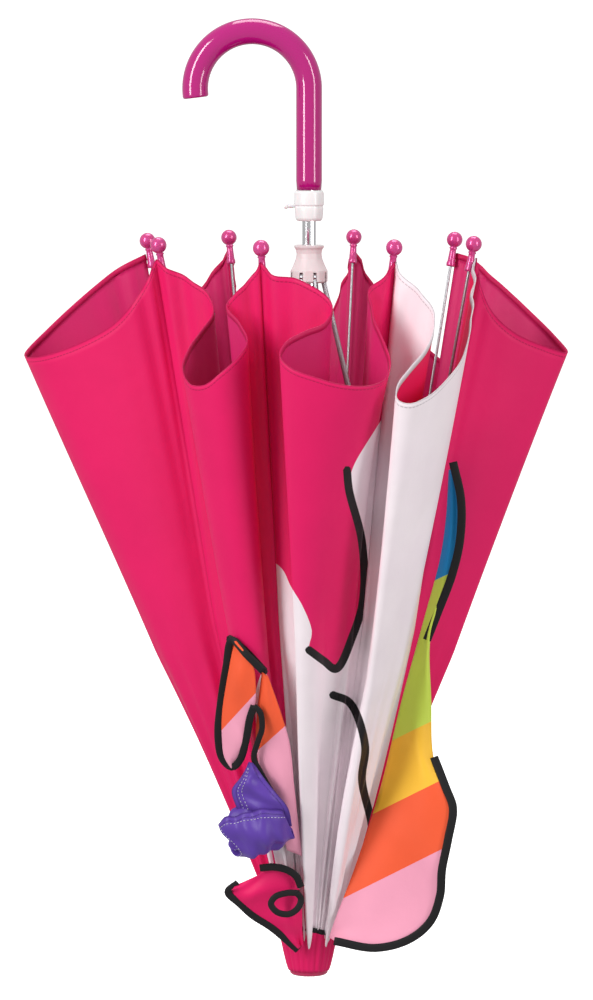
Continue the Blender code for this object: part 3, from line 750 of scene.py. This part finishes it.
def make_gore(index):
    front = index in FRONT_GORES
    gore = Gore(index, 113 if front else 65, 170 if front else 64)
    shapes = [gore.shape(swing) for swing in SWINGS]
    rest = shapes[SWINGS.index(0.0)]
    piece = add_piece(f"canopy_panel_{index + 1}", rest, grid_faces(gore.rows + 2, gore.columns),
                      "panel" if front else "pink", "white_inside" if index == 6 else "inside")
    store(piece, "cloth", gore.cloth())
    if index in PIPING:
        view = seen_at(rest)
        if index in PINK_AREAS:
            area = rounded_line(PINK_AREAS[index])
            outside = distance_to(view, [*area, area[0]]) * np.where(in_polygon(view, area), -1, 1)
        else:
            outside = np.full(len(view), 50.0)
        store(piece, "panel", outside * UNIT)
        lines = [PIPING[index]] + ([PIPING[6]] if index == 5 else [])
        nearest = [distance_to(view, rounded_line(line)) for line in lines]
        store(piece, "piping", np.min(nearest, axis=0) * UNIT)
    follow_ribs(piece, shapes)
    thicken(piece, CLOTH, other_side=1)
    gore_node = f"gore_{index + 1}"
    belongs(piece, "white_fabric" if index == 6 else "pink_fabric", gore_node, gore_node)


# Ribs


def make_rib(index):
    """A wire rib with its knee joint, from the crown ring to the ball tip's sleeve."""
    number = index + 1
    turn = Matrix.Rotation(rib_azimuth(index), 3, "Z")
    tangent = turn @ Vector((0, 1, 0))
    reach = ARM + RIB_END - SLEEVE_LENGTH + 0.004
    path, radii = [], []
    for d in np.linspace(0, reach, 120):
        radius, height = along_inner(d) if d < ARM else along_outer(d - ARM)
        beside = LAYER * min(max(1 - (d - ARM + 0.03) / 0.026, 0.0), 1.0)
        path.append(turn @ Vector((radius, beside, height)))
        radii.append(0.00095 + 0.0010 * np.exp(-(((d - ARM) / 0.0050) ** 4)) + 0.0010 * np.exp(-((d / 0.0028) ** 2)))
    wire = tube(path, lambda row: ellipse(radii[row] * 0.8, radii[row], 10), [tangent] * len(path))
    knee = turn.to_4x4() @ Matrix.Translation((KNEE[0], 0, KNEE[1])) @ Matrix.Rotation(pi / 2, 4, "X")
    head = [(0, -0.0034), (0.0012, -0.0034), (0.0015, -0.0030), (0.0015, -0.0026), (0.0008, -0.0026),
            (0.0008, 0.0026), (0.0015, 0.0026), (0.0015, 0.0030), (0.0012, 0.0034), (0, 0.0034)]
    piece = add_piece(f"rib_wire_{number}", *joined([wire, lathe(head, 16, knee)]), "steel")
    belongs(piece, "steel_wire", None, f"rib_inner_{number}", f"rib_outer_{number}")
    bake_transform(piece)


def make_ball_tip(index):
    number = index + 1
    neck = np.arcsin(0.0020 / BALL_RADIUS)
    ball = [(BALL_RADIUS * sin(a), -BALL_RADIUS * cos(a)) for a in np.linspace(neck, pi, 18)]
    ball[-1] = (0, BALL_RADIUS)
    foot = -SLEEVE_LENGTH
    profile = [(0.0013, foot), (SLEEVE_RADIUS - 0.0003, foot), (SLEEVE_RADIUS, foot + 0.0006),
               (SLEEVE_RADIUS, foot + 0.0024), (SLEEVE_RADIUS - 0.0004, foot + 0.0032),
               (0.0021, -0.0080), (0.0020, -0.0062), (0.0026, -0.0055), *ball]
    radius, height = along_outer(RIB_END)
    place = (Matrix.Rotation(rib_azimuth(index), 4, "Z") @ Matrix.Translation((radius, 0, height))
             @ Matrix.Rotation(OUTER_TILT, 4, "Y"))
    piece = add_piece(f"ball_{number}", *lathe(profile, 32, place), "pearl")
    belongs(piece, "pearl_plastic", f"rib_outer_{number}", f"ball_tip_{number}")


# Handle and fittings


def make_handle():
    """The crook: a glossy rod with a rounded end, standing in the collar."""
    path = [Vector((0, 0, z)) for z in np.linspace(HANDLE_FOOT_Z + 0.0003, CROOK_CENTRE_Z, 12)]
    path += [Vector((CROOK_RADIUS * (cos(a) - 1), 0, CROOK_CENTRE_Z + CROOK_RADIUS * sin(a)))
             for a in np.linspace(0, CROOK_SWEEP, 72)[1:]]
    sizes = [HANDLE_RADIUS] * len(path)
    sizes[0] = HANDLE_RADIUS - 0.0004
    forward = Vector((-sin(CROOK_SWEEP), 0, cos(CROOK_SWEEP)))
    end, rounding = path[-1], 0.0015
    for a in np.linspace(0, pi / 2, 7)[1:]:
        path.append(end + forward * rounding * sin(a))
        sizes.append(HANDLE_RADIUS - rounding * (1 - cos(a)))
    rod = tube(path, lambda row: ellipse(sizes[row], sizes[row], 56), [Vector((0, 1, 0))] * len(path))
    belongs(add_piece("crook", *rod, "handle"), "handle_gloss", "frame", "crook_handle")


def make_collar():
    foot = HANDLE_FOOT_Z - COLLAR_LENGTH
    profile = rounded([
        (0.0047, foot), (0.0074, foot), (0.0084, foot + 0.0016), (0.0089, foot + 0.0070), (0.0089, foot + 0.0084),
        (0.0085, foot + 0.0088), (0.0085, foot + 0.0094), (COLLAR_RADIUS, foot + 0.0098),
        (COLLAR_RADIUS, HANDLE_FOOT_Z - 0.0012), (COLLAR_RADIUS - 0.0008, HANDLE_FOOT_Z), (0.0081, HANDLE_FOOT_Z),
        (0.0081, HANDLE_FOOT_Z - 0.0010), (0.0047, HANDLE_FOOT_Z - 0.0012), (0.0047, foot)], 0.0006)
    belongs(add_piece("collar_ring", *lathe(profile, 64), "white"), "white_plastic", "frame", "collar")


def dress_cad():
    """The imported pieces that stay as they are, in their materials."""
    worn = {"shaft": "chrome", "release_button": "button", "crown_hub": "white", "crown_ring": "steel",
            "runner": "pale", "runner_ring": "steel", "tip_cap": "cap", "open_catch": "steel"}
    worn |= {f"stretcher_{number}": "steel" for number in range(1, RIB_COUNT + 1)}
    for name, look in worn.items():
        node = frame["nodes"][name]
        node.data.materials.clear()
        node.data.materials.append(LOOKS[look])


# Flaps and trims


def carried(points, index, swing):
    """Points that keep their places beside the seam over a rib when the ribs swing."""
    azimuth = rib_azimuth(index)
    out, beside = np.array(radial(azimuth)), np.array(radial(azimuth + pi / 2))
    plane = np.stack((points @ out, points[:, 2]), axis=1)
    low, high = seam_line([0.0, 1.0])[:, 1]
    shares = np.clip((plane[:, 1] - low) / (high - low), 0.02, 1)
    rest, moved = seam_line(shares), seam_line(shares, swing)
    angle = swing * (1 + FLEX_RATIO * bending(rest))
    c, s = np.cos(angle), np.sin(angle)
    r, z = (plane - rest).T
    r = r + (0.010 * swing if swing > 0 else -0.024 * swing)  # hangs clear of the cloth as it tightens or folds
    plane = moved + np.stack((r * c + z * s, z * c - r * s), axis=1)
    return out * plane[:, :1] + beside * (points @ beside)[:, None] + np.array((0, 0, 1)) * plane[:, 1:]


def carry(piece, points, index):
    points = np.array([tuple(p) for p in points])
    follow_ribs(piece, [carried(points, index, swing) for swing in SWINGS])


def edge_line(points, steps):
    return smooth_through([at(column, row, y / 1000) for column, row, y in points], steps)


def strip(left, right, rows, columns, bulge, ripples, seed):
    """A (rows, columns, 3) grid of cloth between two edges, with ripples across it."""
    a, b = edge_line(left, rows), edge_line(right, rows)
    random = np.random.default_rng(seed)
    shift = random.uniform(0, 2 * pi, 4)
    s, t = np.meshgrid(np.linspace(0, 1, columns), np.linspace(0, 1, rows))
    points = a[:, None] + (b - a)[:, None] * s[..., None]
    lift = bulge * np.sin(pi * s) * np.sin(pi * np.clip(t, 0.05, 0.95))
    waves = np.sin(9 * t + 4 * s + shift[0]) + 0.5 * np.sin(17 * t - 6 * s + shift[1])
    points[..., 1] -= lift + ripples * np.sin(pi * s) * waves
    return points


# The body that carries the flaps on each side and the rib beside which they keep their places
RIGHT = ("gore_8", 7)
LEFT = ("gore_5", 5)


def plain_sheet(name, grid, look, side, replaced=(), slot="rainbow_fabric", band=None):
    body, index = side
    rows, columns = grid.shape[:2]
    points = grid.reshape(-1, 3)
    piece = add_piece(name, points, grid_faces(rows, columns), look)
    wide = np.linalg.norm(np.diff(grid, axis=1), axis=2)
    tall = np.linalg.norm(np.diff(grid, axis=0), axis=2)
    across = np.concatenate((np.zeros((rows, 1)), np.cumsum(wide, axis=1)), axis=1)
    along = np.concatenate((np.zeros((1, columns)), np.cumsum(tall, axis=0)), axis=0)
    hem = np.minimum(across, across[:, -1:] - across)
    store_cloth(piece, across, along, hem)
    if band is not None:
        store(piece, "band", band)
    carry(piece, points, index)
    thicken(piece, CLOTH, 0.0)
    belongs(piece, slot, body, *replaced)


def binding(name, line, side, width=0.0052, thickness=0.0016):
    """Folded tape sewn over a raw edge, along a line of (column, row, y in mm)."""
    path = edge_line(line, 90)
    turns = np.linspace(0, 2 * pi, 14, endpoint=False)
    sideways = width / 2 * np.sign(np.cos(turns)) * np.abs(np.cos(turns)) ** 0.5
    outwards = thickness / 2 * np.sign(np.sin(turns)) * np.abs(np.sin(turns)) ** 0.7
    outline = list(zip(sideways, outwards))
    facing = Vector((0, -1, 0))
    guides = []
    for row in range(len(path)):
        tangent = Vector(path[min(row + 1, len(path) - 1)] - path[max(row - 1, 0)]).normalized()
        guides.append(tangent.cross(facing))
    points, faces = tube(path, lambda row: outline, guides)
    piece = add_piece(name, points, faces, "binding")
    length = np.linalg.norm(np.diff(path, axis=0), axis=1).cumsum()
    rows = np.concatenate(([0], length)).repeat(len(outline))
    sides = np.tile(np.linspace(0, 2 * width, len(outline)), len(path))
    store_cloth(piece, sides, rows)
    body, index = side
    carry(piece, points, index)
    belongs(piece, "rainbow_fabric", body)
    return piece


def make_right_flap():
    left = ((449, 470, -31), (446, 520, -30), (440, 560, -29), (424, 620, -28), (402, 700, -26), (380, 790, -25),
            (354, 870, -26), (335, 920, -25), (329, 938, -22))
    right = ((455, 466, -38), (461, 500, -38), (460, 540, -37), (452, 575, -36), (438, 612, -35), (430, 640, -34),
             (431, 700, -36), (434, 760, -40), (446, 788, -44), (453, 808, -46), (448, 840, -46), (442, 870, -45),
             (440, 896, -42), (430, 922, -39), (408, 940, -37), (375, 948, -35), (336, 941, -32))
    grid = strip(left, right, 120, 22, 0.006, 0.0016, 3)
    view = seen_at(grid.reshape(-1, 3))
    slant = view[:, 1] + 0.5 * (view[:, 0] - 415)
    lower = ((434, 757, -41), (446, 788, -45), (453, 808, -47), (448, 840, -47), (442, 870, -46), (440, 896, -43),
             (430, 922, -40), (408, 940, -38), (375, 948, -36), (334, 941, -33))
    upper = ((453, 462, -39), (461, 500, -39), (460, 540, -38), (452, 575, -37), (438, 612, -36), (427, 640, -35))
    trims = [binding("flap_binding_right_upper", upper, RIGHT), binding("flap_binding_right_lower", lower, RIGHT)]
    plain_sheet("rainbow_flap_right", grid, "bands", RIGHT, ["mane_flap_right"],
                band=np.clip((slant - 480) / 480, 0, 1))


def make_left_flap():
    left = ((232, 641, -78), (226, 668, -72), (221, 700, -64), (218, 735, -56), (222, 758, -51), (230, 768, -50))
    right = ((236, 641, -82), (250, 655, -84), (256, 690, -78), (252, 722, -71), (246, 748, -63), (234, 768, -53))
    grid = strip(left, right, 50, 18, 0.005, 0.0014, 7)
    view = seen_at(grid.reshape(-1, 3))
    slant = 0.70 + 0.004 * (view[:, 1] - 690 + 1.1 * (view[:, 0] - 240)) * 1.2
    outer = ((263, 671, -82), (247, 655, -84), (232, 640, -80), (226, 668, -74), (221, 700, -66), (218, 735, -58),
             (222, 758, -53), (231, 767, -53), (240, 760, -60), (246, 740, -67), (250, 718, -75), (254, 706, -78))
    inner = ((254, 706, -78), (260, 712, -77), (262, 728, -74), (257, 744, -69), (254, 758, -65), (262, 775, -62),
             (272, 793, -58))
    trims = [binding("flap_binding_left_outer", outer, LEFT, 0.0046),
             binding("flap_binding_left_inner", inner, LEFT, 0.0036)]
    plain_sheet("rainbow_flap_left", grid, "bands", LEFT, ["mane_flap_left"],
                band=np.clip(slant, 0.66, 1))
    left = ((262, 672, -77), (258, 706, -72), (256, 742, -63), (262, 776, -57), (276, 808, -52), (287, 850, -40))
    right = ((268, 676, -79), (282, 716, -73), (290, 745, -66), (294, 785, -57), (298, 820, -48), (302, 856, -39))
    grid = strip(left, right, 50, 14, 0.003, 0.0010, 9)
    view = seen_at(grid.reshape(-1, 3))
    slant = 0.72 + 0.0022 * (view[:, 1] - 700 + 0.9 * (view[:, 0] - 275))
    plain_sheet("rainbow_flap_inner", grid, "bands", LEFT, band=np.clip(slant, 0.66, 1))


def make_horn():
    """A little satin cone, rolled up and crumpled, with stitching along its edges."""
    rows, columns, turns = 60, 120, 1.9
    t, s = np.meshgrid(np.linspace(0, 1, rows), np.linspace(0, 1, columns), indexing="ij")
    axis = edge_line(((286, 816, -54), (272, 820, -57), (252, 828, -56), (230, 838, -53)), rows)
    stops, sizes = (0, 0.2, 0.5, 0.8, 1), (0.0140, 0.0184, 0.0205, 0.0185, 0.0135)
    size = np.interp(np.linspace(0, 1, rows), stops, sizes)[:, None]
    angle = 2 * pi * turns * s + 0.6 * t + 1.0
    radius = size * (0.40 + 0.60 * s) * (1 + 0.09 * np.sin(3 * angle + 5 * t) + 0.05 * np.sin(5 * angle - 9 * t + 1))
    radius = radius + 0.0009 * np.sin(21 * t + 3 * angle) * s
    heading = Vector(axis[-1] - axis[0]).normalized()
    one = Vector((0, -1, 0)) - heading * heading.dot(Vector((0, -1, 0)))
    one.normalize()
    two = np.array(heading.cross(one))
    lip = np.array(heading) * 0.0030
    points = (axis[:, None] + radius[..., None] * (np.cos(angle)[..., None] * np.array(one) * 0.75
                                                  + np.sin(angle)[..., None] * two)
              + lip * (np.sin(2 * angle) * t)[..., None])
    edge = points[-2] + (points[-2] - axis[-2]) * 0.05
    side = points[:, -4] + (points[:, -4] - axis) * 0.03
    thread = make_stitches("horn_stitching", [edge, side])
    plain_sheet("satin_roll", points, "purple", LEFT, ["horn_flap"],
                "purple_fabric")
    left = ((249, 762, -63), (242, 776, -62), (232, 790, -60), (236, 806, -59), (242, 822, -56))
    right = ((253, 762, -64), (264, 778, -66), (276, 793, -67), (288, 808, -64), (292, 826, -56))
    grid = strip(left, right, 34, 24, 0.006, 0.0022, 21)
    thread = make_stitches("horn_neck_stitching", [grid[3:-6, column] - (0, 0.0006, 0) for column in (3, 5)])
    plain_sheet("satin_neck", grid, "purple", LEFT, slot="purple_fabric")


def make_stitches(name, lines):
    """Short threads along each line."""
    made = []
    for line in lines:
        path = smooth_through(line, max(int(np.linalg.norm(np.diff(line, axis=0), axis=1).sum() / 0.0011), 6))
        for a, b in zip(path[::2], path[1::2]):
            made.append(tube([a, (a + b) / 2, b], lambda row: ellipse(0.00020, 0.00020, 6)))
    points, faces = joined(made)
    thread = add_piece(name, points, faces, "thread")
    body, index = LEFT
    carry(thread, points, index)
    belongs(thread, "purple_fabric", body)
    return thread


def make_ear():
    left = ((229, 892, -30), (240, 903, -29), (252, 914, -28), (272, 927, -26), (297, 949, -22))
    right = ((236, 885, -32), (256, 876, -35), (276, 866, -38), (297, 884, -36), (303, 946, -24))
    grid = strip(left, right, 44, 22, 0.004, 0.0018, 13)
    edge = ((238, 883, -33), (228, 892, -31), (240, 904, -30), (252, 915, -29), (272, 928, -27), (298, 950, -23))
    trim = binding("ear_binding", edge, LEFT, 0.0046)
    top = ((260, 868, -39), (274, 867, -41), (287, 870, -42), (296, 876, -42), (301, 887, -41))
    fold = binding("ear_binding_upper", top, LEFT, 0.0046)
    ring = ((299, 893, -42), (287, 893, -44), (275, 897, -45), (271, 904, -45), (277, 912, -45), (289, 914, -44),
            (298, 908, -43), (301, 899, -42), (297, 893, -43))
    loop = binding("ear_loop", ring, LEFT, 0.0040, 0.0022)
    plain_sheet("ear_sheet", grid, "hot_pink", LEFT, ["ear_flap"])


def splayed(points, swing):
    """The crown's gather, whose lower edge is pushed outward by the ribs."""
    points = np.array([tuple(p) for p in points])
    plane = np.stack((np.hypot(points[:, 0], points[:, 1]), points[:, 2]), axis=1)
    share = np.clip((plane[:, 1:] - 0.0095) / 0.008, 0, 1)
    plane = plane + (turned(plane, (0.0150, 0.0095), max(swing, 0.0)) - plane) * share
    return about_axis(plane, np.arctan2(points[:, 1], points[:, 0]))


def make_crown_gather():
    """The canopy's end, gathered under the tip cap in fine pleats, and its black piping."""
    rows, columns = 14, 240
    t, s = np.meshgrid(np.linspace(0, 1, rows), np.linspace(0, 2 * pi, columns, endpoint=False), indexing="ij")
    radius = 0.0124 + 0.0058 * t**0.8
    radius = radius + (0.00055 * np.sin(26 * s) + 0.00035 * np.sin(17 * s + 2)) * (0.4 + 0.6 * t)
    height = 0.0028 + 0.0270 * t + 0.0018 * t * np.sin(3 * s + 0.6)
    points = np.stack((radius * np.cos(s), radius * np.sin(s), height), axis=2).reshape(-1, 3)
    piece = add_piece("crown_gather", points, grid_faces(rows, columns, closed=True), "pink")
    store_cloth(piece, s * 0.015, t * 0.027)
    follow_ribs(piece, [splayed(points, swing) for swing in SWINGS])
    thicken(piece, CLOTH, 0.0)
    belongs(piece, "pink_fabric", "frame", "canopy_washer")
    edge = points.reshape(rows, columns, 3)[-1]
    ring = [*edge, edge[0], edge[1]]
    up = [Vector((0, 0, 1))] * len(ring)
    points, faces = tube(ring, lambda row: ellipse(0.0016, 0.0006, 10), up, closed_ends=False)
    trim = add_piece("crown_piping", points, faces, "binding")
    store_cloth(trim, 0, np.linspace(0, 0.1, len(points)))
    follow_ribs(trim, [splayed(points, swing) for swing in SWINGS])
    belongs(trim, "pink_fabric", "frame")


# Scene


def make_camera():
    data = bpy.data.cameras.new("camera")
    data.sensor_width, data.lens = SENSOR_WIDTH, VIEW_LENS
    camera = bpy.data.objects.new("camera", data)
    camera.location = EYE + ORIGIN
    camera.rotation_mode = "QUATERNION"
    camera.rotation_quaternion = (-BACK).to_track_quat("-Z", "Y")
    bpy.context.scene.collection.objects.link(camera)
    bpy.context.scene.camera = camera
    bpy.context.scene.view_settings.view_transform = "Standard"


def add_light(name, place, size, power):
    data = bpy.data.lights.new(name, "AREA")
    data.shape, data.size, data.size_y, data.energy = "RECTANGLE", *size, power
    light = bpy.data.objects.new(name, data)
    light.location = place
    light.rotation_mode = "QUATERNION"
    light.rotation_quaternion = (VIEW_AIM + ORIGIN - Vector(place)).to_track_quat("-Z", "Y")
    bpy.context.scene.collection.objects.link(light)


def make_studio():
    world = bpy.data.worlds.new("studio")
    world.use_nodes = True
    sky = world.node_tree.nodes["Background"].inputs
    sky["Color"].default_value = (1, 1, 1, 1)
    sky["Strength"].default_value = 0.50
    bpy.context.scene.world = world
    add_light("key", (-1.5, -1.5, 0.5), (0.5, 1.8), 37)
    add_light("fill", (1.6, -1.3, 0.1), (0.4, 1.6), 17)
    add_light("top", (0.1, 0.5, 1.6), (1.2, 1.0), 16)
    # A pale floor that curves up into a dome
    n = Look("studio_floor")
    n.set(Base_Color=n.mix(n.noise(3.0), (0.90, 0.90, 0.90), (0.93, 0.93, 0.93)), Roughness=0.9)
    n.set(Emission_Color=(1.0, 1.0, 1.0, 1.0), Emission_Strength=0.72)
    reach, rounding, height = 20.0, 4.0, ORIGIN.z - 0.02
    profile = [(0, height), (4.0, height), (reach - rounding, height)]
    profile += [(reach - rounding * (1 - sin(a)), height + rounding * (1 - cos(a)))
                for a in np.linspace(0.15, pi / 2, 10)]
    profile += [(reach * cos(a), height + rounding + reach * sin(a)) for a in np.linspace(0.1, pi / 2, 16)[:-1]]
    profile.append((0, height + rounding + reach))
    points, faces = lathe(profile, 64)
    mesh = bpy.data.meshes.new("floor")
    mesh.from_pydata(points, [], faces)
    mesh.materials.append(n.material)
    mesh.shade_smooth()
    floor = bpy.data.objects.new("floor", mesh)
    bpy.context.scene.collection.objects.link(floor)
    floor.visible_diffuse = floor.visible_glossy = False


def main():
    make_camera()
    make_handle()
    make_collar()
    dress_cad()
    for index in range(RIB_COUNT):
        make_rib(index)
        make_ball_tip(index)
    for index in range(RIB_COUNT):
        make_gore(index)
    make_right_flap()
    make_left_flap()
    make_horn()
    make_ear()
    make_crown_gather()
    make_studio()


main()
